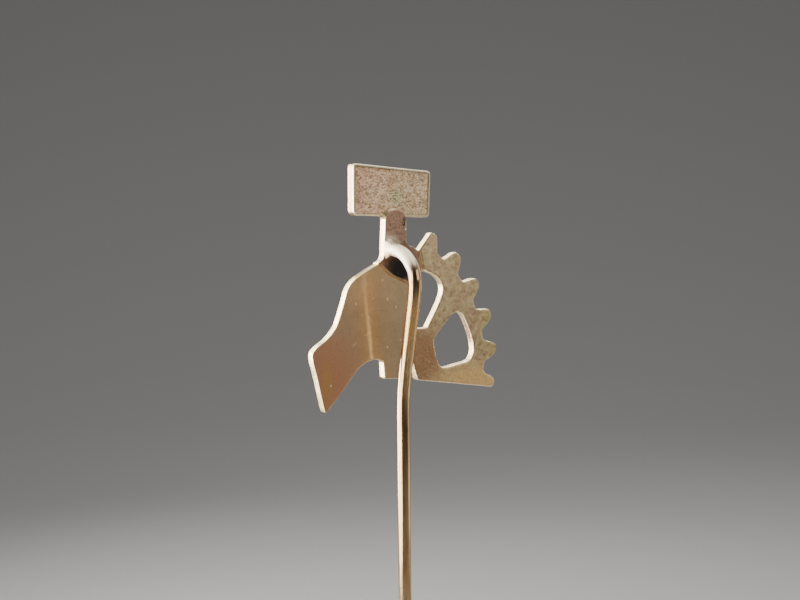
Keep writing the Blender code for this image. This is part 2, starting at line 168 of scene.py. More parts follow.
def add_object(name, points, faces, sharp=180):
    """An object from points in millimetres, smooth but for edges bent past sharp degrees."""
    mesh = bpy.data.meshes.new(name)
    mesh.from_pydata([tuple(value * MM for value in point) for point in points], [], faces)
    shape = bmesh.new()
    shape.from_mesh(mesh)
    bmesh.ops.recalc_face_normals(shape, faces=shape.faces)
    spend_shape(shape, mesh).shade_smooth()
    if sharp < 180:
        mesh.set_sharp_from_angle(angle=math.radians(sharp))
    return link_object(name, mesh)


def apply_modifiers(item):
    """Gives an object the mesh that its modifiers make."""
    bpy.context.view_layer.update()
    graph = bpy.context.evaluated_depsgraph_get()
    mesh = bpy.data.meshes.new_from_object(item.evaluated_get(graph))
    item.modifiers.clear()
    item.data = mesh


def set_wear(item, values):
    """Stores how rubbed each point is, which the materials read."""
    layer = item.data.attributes.new("wear", "FLOAT", "POINT")
    layer.data.foreach_set("value", np.asarray(values, np.float32))


def stand_for(item, node, slot, *skins):
    """Skins a finished piece and puts it in the place of a CAD node, on the same body."""
    for skin in skins:
        item.data.materials.append(skin)
    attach(item, next(body for body, nodes in BODIES.items() if node in nodes))
    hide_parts(node)


def cad_shape(node):
    """A CAD node's shape with its split points welded."""
    shape = bmesh.new()
    shape.from_mesh(frame["nodes"][node].data)
    bmesh.ops.remove_doubles(shape, verts=shape.verts, dist=WELD)
    shape.normal_update()
    return shape


def back_outlines(node):
    """The outlines of a CAD plate's back face as (x, z) in millimetres, the metal on their left."""
    shape = cad_shape(node)
    follow = {}
    for face in shape.faces:
        if face.normal.y < 0.9:
            continue
        for loop in face.loops:
            if any(other.normal.y < 0.9 for other in loop.edge.link_faces):
                follow[loop.link_loop_next.vert] = loop.vert
    outlines = []
    while follow:
        start, point = follow.popitem()
        outline = [start.co.copy()]
        while point is not start:
            outline.append(point.co.copy())
            point = follow.pop(point)
        outlines.append(np.array([(place.x, place.z) for place in outline]) / MM)
    shape.free()
    return outlines


def curve(start, leave, end, arrive, t):
    """A point between two points on the curve that has the given directions at them."""
    return (
        (2 * t**3 - 3 * t**2 + 1) * start + (t**3 - 2 * t**2 + t) * leave
        + (3 * t**2 - 2 * t**3) * end + (t**3 - t**2) * arrive
    )


def fine_outline(points, step):
    """An outline resampled evenly: smooth through gentle bends, slightly rounded at corners."""
    ahead = np.roll(points, -1, 0) - points
    lengths = np.linalg.norm(ahead, axis=1, keepdims=True)
    after = ahead / lengths
    before = np.roll(after, 1, 0)
    sharp = np.sum(before * after, axis=1) < math.cos(SHARP_CORNER)
    shorter = np.minimum(lengths, np.roll(lengths, 1, 0))
    longer = np.maximum(lengths, np.roll(lengths, 1, 0))
    bend = before / np.roll(lengths, 1, 0) + after / lengths
    run = np.where(lengths > np.roll(lengths, 1, 0), after, before)
    bend = np.where(longer > 2.5 * shorter, run, bend)
    bend /= np.linalg.norm(bend, axis=1, keepdims=True)
    fine = []
    for index in range(len(points)):
        following = (index + 1) % len(points)
        length = lengths[index]
        leave = length * (after[index] if sharp[index] else bend[index])
        arrive = length * (after[index] if sharp[following] else bend[following])
        steps = max(1, round(float(length[0]) / step))
        for number in range(steps):
            fine.append(curve(points[index], leave, points[following], arrive, number / steps))
    fine = np.array(fine)
    for _ in range(2):
        fine = (np.roll(fine, 1, 0) + 2 * fine + np.roll(fine, -1, 0)) / 4
    return fine


def inward(outline):
    """Unit directions into the metal at each point of an outline."""
    along = np.roll(outline, -1, 0) - np.roll(outline, 1, 0)
    along /= np.linalg.norm(along, axis=1, keepdims=True)
    return np.column_stack((-along[:, 1], along[:, 0]))


def depth_finder(outlines):
    """A function that gives points' distances from the outlines, negative outside the metal."""
    places = np.vstack(outlines)
    into = np.vstack([inward(outline) for outline in outlines])
    tree = kdtree.KDTree(len(places))
    for index, (x, z) in enumerate(places):
        tree.insert((x, z, 0), index)
    tree.balance()
    sides = [np.vstack([np.roll(outline, turn, 0) for outline in outlines]) for turn in (1, -1)]

    def depths(points):
        nearest = [tree.find((x, z, 0))[1] for x, z in points]
        gap = points - places[nearest]
        away = np.full(len(points), np.inf)
        for side in sides:
            along = side[nearest] - places[nearest]
            share = np.clip(np.sum(gap * along, axis=1) / np.sum(along**2, axis=1), 0, 1)
            away = np.minimum(away, np.linalg.norm(gap - share[:, None] * along, axis=1))
        return np.where(np.sum(gap * into[nearest], axis=1) > 0, away, -away)

    return depths


def thinned(points, gap):
    """Points with none closer than a gap to an earlier one."""
    kept = {}
    for point in points:
        cell = (int(point[0] // gap), int(point[1] // gap))
        near = (kept.get((cell[0] + i, cell[1] + j)) for i in (-1, 0, 1) for j in (-1, 0, 1))
        if cell not in kept and all(
            other is None or math.dist(point, other) >= gap for other in near
        ):
            kept[cell] = point
    return list(kept.values())


def filled_outline(outlines, ring_depths, spacing, extra=()):
    """A triangulated face inside outlines: rings at given depths, then an even scatter.
    Returns its points, the outlines' own first, their depths and the triangles."""
    depth_inside = depth_finder(outlines)
    rings = []
    for depth in ring_depths:
        for outline in outlines:
            ring = outline + inward(outline) * depth
            keep = depth_inside(ring) > 0.985 * depth
            rings += thinned(ring[keep], 0.55 * spacing if depth > spacing else 0.02)
    low = np.vstack(outlines).min(0)
    high = np.vstack(outlines).max(0)
    random = np.random.default_rng(11)
    rows = np.arange(low[1], high[1], spacing * 0.866)
    lattice = np.array([
        (x + (row % 2) * spacing / 2, z)
        for row, z in enumerate(rows) for x in np.arange(low[0], high[0], spacing)
    ])
    lattice += random.uniform(-0.12, 0.12, lattice.shape) * spacing
    depths = depth_inside(lattice)
    clear = depths > 0.6 * spacing
    for depth in ring_depths:
        clear &= np.abs(depths - depth) > 0.35 * spacing
    inner = np.array(thinned([*extra, *rings, *lattice[clear]], 0.018))
    points = np.vstack([*outlines, inner])
    edges = []
    first = 0
    for outline in outlines:
        count = len(outline)
        edges += [(first + index, first + (index + 1) % count) for index in range(count)]
        first += count
    vectors = [Vector(point) for point in points]
    made = geometry.delaunay_2d_cdt(vectors, edges, [], 0, 1e-6)
    source = [origin[0] for origin in made[3]]
    triangles = np.array([[source[corner] for corner in face] for face in made[2]])
    centres = points[triangles].mean(1)
    triangles = triangles[depth_inside(centres) > 0]
    depths = np.concatenate([np.zeros(first), np.maximum(depth_inside(inner), 1e-4)])
    return points, depths, triangles


def round_over(depth, radius):
    """How far a rounded edge lies below the flat at a depth in from the outline."""
    if depth >= radius:
        return 0.0
    return radius - math.sqrt(radius**2 - (radius - depth) ** 2)


def plate(
    node, slot, skins, back, rim, sunk, stipple=0.012, spacing=0.12, front_level=None, extra=(),
    edge=0.05,
):
    """A plate cut from sheet. back gives how far its back lies under the flat at (x, z, depth
    in from the outline); rim is how wide the front's raised border is, and sunk and stipple say
    how deep the field inside it is. skins are the materials of its back, its front field, its
    front rim and its cut edges."""
    levels = [point.co.y / MM for point in frame["nodes"][node].data.vertices]
    back_y = max(levels)
    front_y = min(levels)
    level = front_level or (lambda x, z: front_y)
    outlines = []
    for outline in back_outlines(node):
        fine = fine_outline(outline, OUTLINE_STEP)
        push = [0.010 * (1 + ripple(x, z, 0.7, 3.0)) for x, z in fine]
        outlines.append(fine + inward(fine) * np.array(push)[:, None])
    points = []
    faces = []
    wear = []

    def cover(rings, height):
        """Adds a face at given heights; returns its points' depths and its triangles."""
        rings = [*(edge * share for share in (0.12, 0.35, 0.65, 1.0)), *rings]
        spots, depths, cap = filled_outline(outlines, rings, spacing, extra)
        start = len(points)
        points.extend((x, height(x, z, depth), z) for (x, z), depth in zip(spots, depths))
        faces.extend(tuple(corner + start for corner in triangle) for triangle in cap)
        wear.extend(np.exp(-depths / WEAR_REACH))
        return depths, cap

    cover((0.12, 0.2), lambda x, z, depth: back_y - round_over(depth, edge) - back(x, z, depth))
    slots = [0] * len(faces)
    first_front = len(points)
    depths, cap = cover(
        (rim - 0.06, rim, rim + 0.05),
        lambda x, z, depth: level(x, z) + round_over(depth, edge)
        + field_depth(x, z, depth, rim, sunk, stipple),
    )
    rubbed_rim = np.exp(-np.abs(depths - rim + 0.05) / 0.05)
    wear[first_front:] = np.maximum(wear[first_front:], rubbed_rim)
    slots += [1 if depths[triangle].min() > rim - 0.07 else 2 for triangle in cap]
    first = 0
    for outline in outlines:
        size = len(outline)
        ladder = [range(first, first + size)]
        for row in range(1, WALL_ROWS):
            share = row / WALL_ROWS
            ladder.append(range(len(points), len(points) + size))
            for index, (x, z), into in zip(ladder[0], outline, inward(outline)):
                top = points[index][1]
                foot = points[first_front + index][1]
                y = top + (foot - top) * share
                cut = 2 + ripple(x + z, y, 0.16, 5.0) + ripple(x - z, y, 0.6, 9.0)
                cut *= 0.006 * math.sin(math.pi * share)
                points.append((x + into[0] * cut, y, z + into[1] * cut))
                wear.append(math.exp(-min(top - y, y - foot) / 0.06))
        ladder.append(range(first_front + first, first_front + first + size))
        for upper, lower in zip(ladder, ladder[1:]):
            for index in range(size):
                ahead = (index + 1) % size
                faces.append((upper[index], upper[ahead], lower[ahead], lower[index]))
                slots.append(3)
        first += size
    item = add_object(node + "_piece", points, faces)
    set_wear(item, wear)
    stand_for(item, node, slot, *skins)
    item.data.polygons.foreach_set("material_index", slots)


def smooth_line(points, steps):
    """Points along a smooth curve through the given ones."""
    ends = [Vector(point) for point in points]
    ends = [2 * ends[0] - ends[1], *ends, 2 * ends[-1] - ends[-2]]
    route = []
    for index in range(1, len(ends) - 2):
        before, start, end, after = ends[index - 1 : index + 3]
        for step in range(steps):
            route.append(curve(start, (end - before) / 2, end, (after - start) / 2, step / steps))
    route.append(ends[-2])
    return route


def around(radius, angle, height, centre_y=PIN_STANDOFF):
    """A point round a vertical line, the pin's own by default."""
    return Vector((radius * math.cos(angle), centre_y + radius * math.sin(angle), height))


def ring_faces(rings, sides, closed=False):
    """Faces between rings of points that were made one after another."""
    faces = []
    for ring in range(rings if closed else rings - 1):
        low, high = ring * sides, (ring + 1) % rings * sides
        for number in range(sides):
            ahead = (number + 1) % sides
            faces.append((low + number, low + ahead, high + ahead, high + number))
    return faces


def tube(route, radii, sides):
    """Points and faces of a round bar along a route, closed at both ends."""
    across = Vector((1.0, 0.0, 0.0))
    points = []
    for index, point in enumerate(route):
        before = route[max(index - 1, 0)]
        after = route[min(index + 1, len(route) - 1)]
        along = (after - before).normalized()
        across = (across - along * across.dot(along)).normalized()
        side = along.cross(across)
        for number in range(sides):
            angle = math.tau * number / sides
            outward = across * math.cos(angle) + side * math.sin(angle)
            points.append(point + outward * radii[index])
    faces = ring_faces(len(route), sides)
    faces.append(tuple(range(sides)))
    faces.append(tuple(range(len(points) - sides, len(points))))
    return points, faces


def lathe(profile, centre_y, sides, closed=True):
    """Points and faces of a profile of (radius, height) turned about a vertical line; a closed
    profile that starts or ends on the axis meets it in one point."""
    points = []
    rings = []
    for radius, height in profile:
        if radius < 1e-6:
            rings.append([len(points)] * sides)
            points.append((0.0, centre_y, height))
            continue
        rings.append([len(points) + number for number in range(sides)])
        for number in range(sides):
            points.append(around(radius, math.tau * number / sides, height, centre_y))
    faces = []
    for index in range(len(rings) if closed else len(rings) - 1):
        ring = rings[index]
        after = rings[(index + 1) % len(rings)]
        for number in range(sides):
            ahead = (number + 1) % sides
            corners = []
            for corner in (ring[number], ring[ahead], after[ahead], after[number]):
                if corner not in corners:
                    corners.append(corner)
            if len(corners) > 2:
                faces.append(tuple(corners))
    return points, faces


# ---- Camera, lights and floor ----


def make_camera():
    data = bpy.data.cameras.new("camera")
    data.sensor_width = 36.0
    data.lens = 54.0
    data.clip_start = 0.005
    camera = link_object("camera", data)
    camera.location = (0.05284, 0.08672, 0.00887)
    camera.rotation_euler = [math.radians(angle) for angle in (85.997, 0.525, 148.096)]
    bpy.context.scene.camera = camera


def soft_light(name, place, size, power, target=(0.0, 0.0, -0.005), spread=140):
    """A soft panel, facing a target and unseen by the camera."""
    data = bpy.data.lights.new(name, "AREA")
    data.shape = "RECTANGLE"
    data.size, data.size_y = size
    data.energy = power
    data.spread = math.radians(spread)
    data.color = (1.0, 0.98, 0.95)
    light = link_object(name, data)
    light.location = place
    aim = Vector(target) - Vector(place)
    light.rotation_euler = aim.to_track_quat("-Z", "Y").to_euler()
    light.visible_camera = False


def make_lights():
    world = bpy.data.worlds.new("studio")
    bpy.context.scene.world = world
    world.use_nodes = True
    background = world.node_tree.nodes["Background"]
    background.inputs["Color"].default_value = (1.0, 0.98, 0.96, 1.0)
    background.inputs["Strength"].default_value = 0.16
    soft_light("key", (0.086, -0.026, -0.008), (0.156, 0.082), 0.215)
    soft_light("edge", (0.067, -0.112, -0.002), (0.07, 0.09), 0.14)
    soft_light("top", (0.048, -0.148, 0.080), (0.12, 0.11), 0.19)
    soft_light("arch", (0.070, -0.055, 0.118), (0.10, 0.08), 0.105)
    soft_light("overhead", (-0.05, 0.0, 0.15), (0.14, 0.12), 0.065)
    soft_light("card", (-0.124, 0.203, 0.077), (0.20, 0.15), 0.096)
    soft_light("shoulder", (-0.090, -0.107, 0.098), (0.12, 0.09), 0.11)
    soft_light("low", (-0.145, 0.045, -0.030), (0.13, 0.06), 0.011)
    soft_light("rim", (-0.24, -0.04, 0.05), (0.16, 0.14), 0.042)
    soft_light("backdrop", (-0.06, -0.12, 0.42), (0.30, 0.20), 1.7, (-0.42, -0.68, 0.0), 180)


def make_stage():
    """A pale floor that curves up into a plain backdrop all round."""
    reach = 0.32
    bend = 0.60
    turns = [math.radians(90 * step / 12) for step in range(13)]
    profile = [(reach + bend * math.sin(turn), bend - bend * math.cos(turn)) for turn in turns]
    profile = [(0.0, 0.0), *profile, (reach + bend, 1.6)]
    points, faces = lathe([(r / MM, z / MM) for r, z in profile], 0.0, 96, closed=False)
    floor = add_object("floor", points, faces)
    floor.location.z = CAD_BOX[0].z - FLOOR_GAP
    material = bpy.data.materials.new("pale floor")
    material.use_nodes = True
    shader = material.node_tree.nodes["Principled BSDF"]
    shader.inputs["Base Color"].default_value = (0.31, 0.31, 0.308, 1.0)
    shader.inputs["Roughness"].default_value = 0.9
    floor.data.materials.append(material)


# ---- Materials ----


def paint(colour, dim=1.0):
    """An sRGB colour, 0 to 255, as linear light, dimmed."""
    shares = [value / 255 for value in colour]
    light = [s / 12.92 if s < 0.04045 else ((s + 0.055) / 1.055) ** 2.4 for s in shares]
    return tuple(dim * value for value in light)


class Skin:
    """A metal under construction: small helpers over its node tree, in millimetres."""

    def __init__(self, name):
        self.material = bpy.data.materials.new(name)
        self.material.use_nodes = True
        self.nodes = self.material.node_tree.nodes
        self.links = self.material.node_tree.links
        self.shader = self.nodes["Principled BSDF"]
        self.feed("Metallic", 1)
        metres = self.nodes.new("ShaderNodeTexCoord").outputs["Object"]
        self.place = self.moved(metres, (1 / MM,) * 3)
        self.normal = None
        self.colour = None

    def feed(self, name, value):
        """Sets one of the shader's own inputs."""
        self.put(self.shader.inputs[name], value)

    def put(self, socket, value):
        if isinstance(value, bpy.types.NodeSocket):
            self.links.new(value, socket)
        elif isinstance(value, tuple) and socket.type == "RGBA":
            socket.default_value = (*value, 1)
        else:
            socket.default_value = value

    def moved(self, vector, scale=(1, 1, 1), turn=(0, 0, 0), shift=(0, 0, 0)):
        node = self.nodes.new("ShaderNodeMapping")
        self.put(node.inputs["Vector"], vector)
        node.inputs["Scale"].default_value = scale
        node.inputs["Rotation"].default_value = turn
        node.inputs["Location"].default_value = shift
        return node.outputs["Vector"]

    def noise(
        self, scale, detail=3, rough=0.55, stretch=(1, 1, 1), turn=(0, 0, 0), shift=(0, 0, 0),
        place=None,
    ):
        node = self.nodes.new("ShaderNodeTexNoise")
        self.put(node.inputs["Vector"], self.moved(place or self.place, stretch, turn, shift))
        node.inputs["Scale"].default_value = scale
        node.inputs["Detail"].default_value = detail
        node.inputs["Roughness"].default_value = rough
        return node.outputs["Fac"]

    def cells(self, scale, stretch=(1, 1, 1)):
        node = self.nodes.new("ShaderNodeTexVoronoi")
        self.put(node.inputs["Vector"], self.moved(self.place, stretch))
        node.inputs["Scale"].default_value = scale
        return node.outputs["Distance"]

    def ramp(self, value, low, high, start=0, end=1):
        """value from low to high, stretched to run from start to end and held there."""
        node = self.nodes.new("ShaderNodeMapRange")
        node.interpolation_type = "SMOOTHSTEP"
        self.put(node.inputs["Value"], value)
        for index, number in enumerate((low, high, start, end), start=1):
            node.inputs[index].default_value = number
        return node.outputs["Result"]

    def math(self, operation, first, second=0):
        node = self.nodes.new("ShaderNodeMath")
        node.operation = operation
        self.put(node.inputs[0], first)
        self.put(node.inputs[1], second)
        return node.outputs[0]

    def times(self, first, second):
        return self.math("MULTIPLY", first, second)

    def vector(self, operation, first, second, output="Vector"):
        node = self.nodes.new("ShaderNodeVectorMath")
        node.operation = operation
        self.put(node.inputs[0], first)
        self.put(node.inputs["Scale" if operation == "SCALE" else 1], second)
        return node.outputs[output]

    def mix(self, share, first, second):
        node = self.nodes.new("ShaderNodeMix")
        node.data_type = "RGBA"
        self.put(node.inputs[0], share)
        self.put(node.inputs[6], first)
        self.put(node.inputs[7], second)
        return node.outputs[2]

    def base(self, share, first, second):
        """Starts the skin's colour as a blend of two."""
        self.colour = self.mix(share, paint(first), paint(second))

    def lay(self, share, colour, dim=1):
        """Lays a colour over the skin's own where share is 1."""
        self.colour = self.mix(share, self.colour, paint(colour, dim))

    def tint(self, value, low, high, amount, colour, dim=1):
        """Lays a colour where value nears high, by up to amount."""
        self.lay(self.ramp(value, low, high, 0, amount), colour, dim)

    def near(self, point, reach, stretch=(1, 1, 1), soft=0.6, wobble=0):
        """1 near a point, fading to 0 at reach; stretch scales the distances."""
        gap = self.moved(self.vector("SUBTRACT", self.place, point), stretch)
        length = self.vector("LENGTH", gap, (0, 0, 0), "Value")
        if wobble:
            sway = self.ramp(self.noise(2.5, 2), 0, 1, -wobble, wobble)
            length = self.math("ADD", length, sway)
        return self.ramp(length, reach * (1 - soft), reach, 1, 0)

    def stroke(self, start, end, half_width):
        """1 on a line between two points, fading to 0 at half_width to its sides."""
        along = Vector(end) - Vector(start)
        gap = self.vector("SUBTRACT", self.place, start)
        reach = self.vector("DOT_PRODUCT", gap, tuple(along), "Value")
        share = self.nodes.new("ShaderNodeClamp")
        self.put(share.inputs["Value"], self.math("DIVIDE", reach, along.length_squared))
        foot = self.vector("SCALE", tuple(along), share.outputs["Result"])
        length = self.vector("LENGTH", self.vector("SUBTRACT", gap, foot), (0, 0, 0), "Value")
        return self.ramp(length, 0, half_width, 1, 0)

    def axis(self, index):
        node = self.nodes.new("ShaderNodeSeparateXYZ")
        self.put(node.inputs[0], self.place)
        return node.outputs[index]

    def attribute(self, name):
        node = self.nodes.new("ShaderNodeAttribute")
        node.attribute_name = name
        return node.outputs["Fac"]

    def wear(self, low=0.45, high=0.8):
        """1 on rubbed corners, patchily. On the plates' backs the colour laid with it is partly real
        rubbing, partly a painted edge highlight.
        """
        patches = self.ramp(self.noise(2.2, 3, shift=(5, 5, 5)), 0.3, 0.7, -0.25, 0.25)
        return self.ramp(self.math("ADD", self.attribute("wear"), patches), low, high)

    def relief(self, *layers):
        """Adds layers of relief: a height, its depth in millimetres and its strength."""
        for height, depth, strength in layers:
            node = self.nodes.new("ShaderNodeBump")
            node.inputs["Strength"].default_value = strength
            node.inputs["Distance"].default_value = depth * MM
            self.put(node.inputs["Height"], height)
            if self.normal:
                self.put(node.inputs["Normal"], self.normal)
            self.normal = node.outputs["Normal"]

    def done(self, grain, smooth, rough, extra=None):
        """The finished material, its roughness from smooth to rough with the grain, and extra."""
        roughness = self.ramp(grain, 0.3, 0.7, smooth, rough)
        if extra:
            roughness = self.math("ADD", roughness, extra)
        self.feed("Roughness", roughness)
        self.feed("Base Color", self.colour)
        self.feed("Normal", self.normal)
        return self.material


def head_back_skin():
    """Granular pinkish gold, redder to one side, with a smoother rim marked off by a dark line."""
    skin = Skin("head back, granular gold")
    grain = skin.noise(5.2, 4, 0.75, (1, 1, 1.4))
    blotch = skin.noise(1.7, 4, 0.65, shift=(3, 3, 3))
    fine = skin.noise(14, 3, 0.6)
    pits = skin.cells(3.4, (0.8, 1, 1.5))
    across = skin.ramp(skin.axis(0), -4, 3)
    skin.base(across, (236, 206, 160), (238, 190, 150))
    pale = skin.near((0.9, 0, 11), 2.2, (0.8, 1, 1), 0.9, wobble=0.4)
    skin.lay(pale, (252, 216, 172))
    skin.lay(skin.near((-1.13, -0.45, 10.5), 1, wobble=0.4), (220, 206, 158))
    skin.tint(blotch, 0.52, 0.4, 0.4, (170, 128, 98))
    skin.tint(grain, 0.5, 0.38, 0.9, (104, 70, 52))
    skin.tint(fine, 0.42, 0.34, 0.5, (124, 88, 66))
    skin.tint(grain, 0.54, 0.66, 0.9, (255, 244, 222))
    skin.tint(fine, 0.58, 0.68, 0.7, (255, 248, 232))
    skin.tint(pits, 0.16, 0.06, 0.6, (96, 70, 50))
    edge = skin.attribute("wear")
    skin.lay(skin.ramp(edge, 0.07, 0.16), (216, 202, 164))
    line = skin.times(skin.ramp(edge, 0.03, 0.05), skin.ramp(edge, 0.12, 0.09))
    line = skin.times(line, skin.ramp(blotch, 0.4, 0.6, 0.15, 0.65))
    skin.lay(line, (104, 78, 54))
    # partly real rubbing, partly a painted highlight: thin bright lines round the head's edges
    skin.lay(skin.wear(), (255, 244, 216))
    skin.relief((grain, 0.04, 0.8), (fine, 0.012, 0.5), (skin.ramp(pits, 0, 0.22), 0.02, 0.6))
    return skin.done(fine, 0.34, 0.5)


def stem_back_skin():
    """Heat-stained red-brown gold, burned nearly black beside the pin's foot; that black patch and
    the dark ring round it are partly a painted shadow of the pin's arch. A painted glow of highlight
    lies round the foot.
    """
    skin = Skin("stem back, heat-stained gold, painted shadow")
    grain = skin.noise(4, 5, 0.65)
    fine = skin.noise(14, 3, 0.6)
    skin.base(skin.noise(0.8, 3), (176, 141, 120), (164, 131, 109))
    skin.tint(grain, 0.52, 0.36, 0.55, (104, 74, 58))
    skin.tint(grain, 0.58, 0.72, 0.5, (214, 180, 146))
    # painted shadow: the near-black patch and the darker ring round it are partly heat staining,
    # partly painted shade where the pin's arch shadows the pad
    burn_and_painted_shadow = skin.near((-1.12, 0, 4.3), 1.5, (0.95, 1, 1.1), 0.6, wobble=0.25)
    stain_and_painted_shadow = skin.near((-0.93, 0, 4.9), 2.6, soft=0.8, wobble=0.4)
    chips = skin.near((-1.68, 0, 8.2), 0.55, (1.6, 1, 0.6))
    chips = skin.times(chips, skin.ramp(grain, 0.6, 0.45))
    skin.lay(stain_and_painted_shadow, (92, 66, 50))
    skin.lay(burn_and_painted_shadow, (20, 15, 13))
    skin.lay(skin.times(chips, 0.85), (48, 34, 28))
    skin.lay(skin.near((-1.72, 0, 7.75), 0.12), (255, 246, 224))
    # painted highlight: a pale glow round the pin's foot and its solder stands in for the bright
    # blurred shine there
    run = skin.near((0.1, 0.1, 6.4), 1.25, (0.8, 0.6, 1), 0.8, wobble=0.15)
    skin.lay(run, (255, 238, 208))
    specks = skin.times(skin.ramp(skin.cells(2.4, (1.6, 1, 0.8)), 0.09, 0.04), burn_and_painted_shadow)
    skin.lay(specks, (214, 190, 150))
    # partly real rubbing, partly a painted highlight: bright lines round the stem's edges, kept off
    # the dark patch
    rubbed = skin.times(skin.wear(), skin.ramp(burn_and_painted_shadow, 0, 0.7, 1, 0.2))
    skin.lay(rubbed, (246, 222, 186))
    skin.feed("Metallic", skin.ramp(burn_and_painted_shadow, 0.2, 0.9, 1, 0.35))
    skin.relief((grain, 0.04, 0.7), (fine, 0.012, 0.5))
    return skin.done(fine, 0.38, 0.5, skin.ramp(burn_and_painted_shadow, 0, 1, 0, 0.25))


def wing_back_skin():
    """Satin gold under a thin lacquer that mirrors the pin; redder low down, with a few nicks."""
    skin = Skin("wing back, satin gold")
    cloud = skin.noise(0.7, 4, 0.6)
    grain = skin.noise(5, 4, 0.6)
    fine = skin.noise(18, 2)
    drawn = skin.noise(1, 3, 0.5, (12, 12, 0.7), (0, 0.1, 0))
    skin.base(skin.ramp(cloud, 0.35, 0.65), (192, 166, 130), (184, 158, 121))
    red = skin.near((6.67, 0, -4.6), 5.4, (1, 1, 0.85), 0.75, wobble=0.5)
    skin.lay(red, (198, 145, 110))
    skin.lay(skin.near((6.07, 0, -5), 1.1, (1.4, 1, 0.4), 0.9), (198, 154, 96))
    skin.tint(grain, 0.48, 0.34, 0.3, (150, 114, 78))
    skin.tint(grain, 0.6, 0.74, 0.3, (232, 200, 154))
    nicks = None
    for x, z, reach in WING_NICKS:
        spot = skin.near((x, 0, z), 0.85 * reach, (1, 1, 0.6), 0.95)
        nicks = spot if nicks is None else skin.math("MAXIMUM", nicks, spot)
    for start, end in WING_SCRATCHES:
        nicks = skin.math("MAXIMUM", nicks, skin.times(skin.stroke(start, end, 0.06), 0.45))
    skin.lay(nicks, (255, 244, 214))
    # partly real rubbing, partly a painted highlight: bright lines round the wing's edges
    skin.lay(skin.wear(), (246, 214, 160))
    skin.relief((grain, 0.012, 0.3), (drawn, 0.004, 0.25), (fine, 0.003, 0.25), (nicks, 0.02, 0.8))
    skin.feed("Coat Weight", skin.ramp(skin.axis(2), 2.6, 0, 0.25, 1))
    skin.feed("Coat Roughness", skin.ramp(drawn, 0.35, 0.65, 0.1, 0.13))
    skin.feed("Coat IOR", 1.8)
    return skin.done(fine, 0.44, 0.54)


def gear_back_skin():
    """Dusty mottled gold: pinkish and greenish clouds, brown at the hub, orange along the foot."""
    skin = Skin("gear back, mottled gold")
    grain = skin.noise(4.6, 5, 0.65)
    fine = skin.noise(16, 3, 0.6)
    dust = skin.noise(1.1, 4, 0.65)
    mottle = skin.noise(2.3, 3, 0.6, shift=(4, 1, 2))
    skin.base(skin.ramp(dust, 0.38, 0.62), (216, 194, 146), (200, 170, 134))
    hub = skin.near((-3.13, 0, -3.4), 3.4, (1, 1, 0.8), 0.7, wobble=0.5)
    skin.lay(hub, (182, 142, 104))
    foot = skin.near((-8.53, 0, -5.9), 3.8, (0.6, 1, 1.5), 0.8, wobble=0.4)
    skin.lay(foot, (252, 210, 142))
    end = skin.near((-10.73, 0, -1), 2.6, (1.3, 1, 0.6), 0.8, wobble=0.4)
    skin.lay(end, (206, 184, 128))
    clear = skin.ramp(skin.math("MAXIMUM", hub, foot), 0, 0.8, 1, 0.15)
    dark_clouds = skin.times(clear, skin.ramp(mottle, 0.52, 0.36, 0, 0.55))
    pale_clouds = skin.times(clear, skin.ramp(mottle, 0.56, 0.7, 0, 0.45))
    skin.lay(dark_clouds, (158, 124, 92))
    skin.lay(pale_clouds, (232, 216, 176))
    skin.tint(grain, 0.48, 0.33, 0.45, (130, 102, 74))
    skin.tint(grain, 0.58, 0.72, 0.6, (246, 228, 190))
    skin.lay(skin.near((-5.6, 0, 3.1), 0.14), (222, 160, 120))
    # partly real rubbing, partly a painted highlight: wide bright rims round the gear's teeth and
    # edges
    skin.lay(skin.wear(0.3, 0.7), (255, 240, 200))
    skin.relief((mottle, 0.03, 0.5), (grain, 0.02, 0.6), (fine, 0.01, 0.4))
    return skin.done(fine, 0.34, 0.48)


def cut_edge_skin():
    """Filed edges: pale and bright near the back and streaked across, with painted shade making them
    browner deeper in and at one end of the gear.
    """
    skin = Skin("cut edge, filed gold")
    filed = skin.noise(1, 3, 0.6, (7, 0.8, 7))
    grain = skin.noise(6, 3, 0.6)
    fine = skin.noise(18, 2)
    skin.base(skin.noise(0.7, 3), (252, 232, 166), (248, 222, 150))
    # painted shade: the cut edges turn browner towards the front, standing in for the darker light
    # the walls catch there
    painted_shade_depth = skin.math("ADD", skin.axis(1), skin.ramp(grain, 0.3, 0.7, -0.16, 0.16))
    skin.tint(painted_shade_depth, -0.42, -0.72, 0.75, (178, 132, 86))
    # painted shade: a browner patch on the cut edges at the gear's far end
    painted_shade_arm = skin.near((-9.2, 0, -2.4), 2.7, (1.6, 0.2, 0.75), 0.5, wobble=0.5)
    skin.lay(skin.times(painted_shade_arm, 0.8), (206, 150, 104))
    skin.tint(filed, 0.5, 0.32, 0.35, (168, 128, 88))
    skin.lay(skin.wear(), (255, 242, 210))
    skin.relief((filed, 0.012, 0.4), (fine, 0.005, 0.3))
    return skin.done(fine, 0.22, 0.36)


def plain_gold(name, light, dark, worn, mottle, rough):
    """Gold with clouding, grain, fine scratches in two directions and rubbed corners."""
    skin = Skin(name)
    grain = skin.noise(5, 4, 0.6)
    fine = skin.noise(18, 2)
    scratches = skin.noise(1, 3, 0.5, (0.8, 14, 14), (0.2, 0.5, 0.1))
    others = skin.noise(1, 3, 0.5, (14, 14, 0.8), (0.1, 0.4, 0.3))
    skin.base(skin.ramp(skin.noise(0.6, 3), 0.35, 0.65), light, dark)
    skin.tint(grain, 0.5, 0.35, mottle, dark, 0.4)
    skin.tint(grain, 0.6, 0.74, mottle, worn)
    skin.lay(skin.wear(), worn)
    skin.relief((grain, 0.03, mottle), (scratches, 0.005, 0.35), (others, 0.005, 0.3))
    return skin.done(fine, rough - 0.05, rough + 0.07)


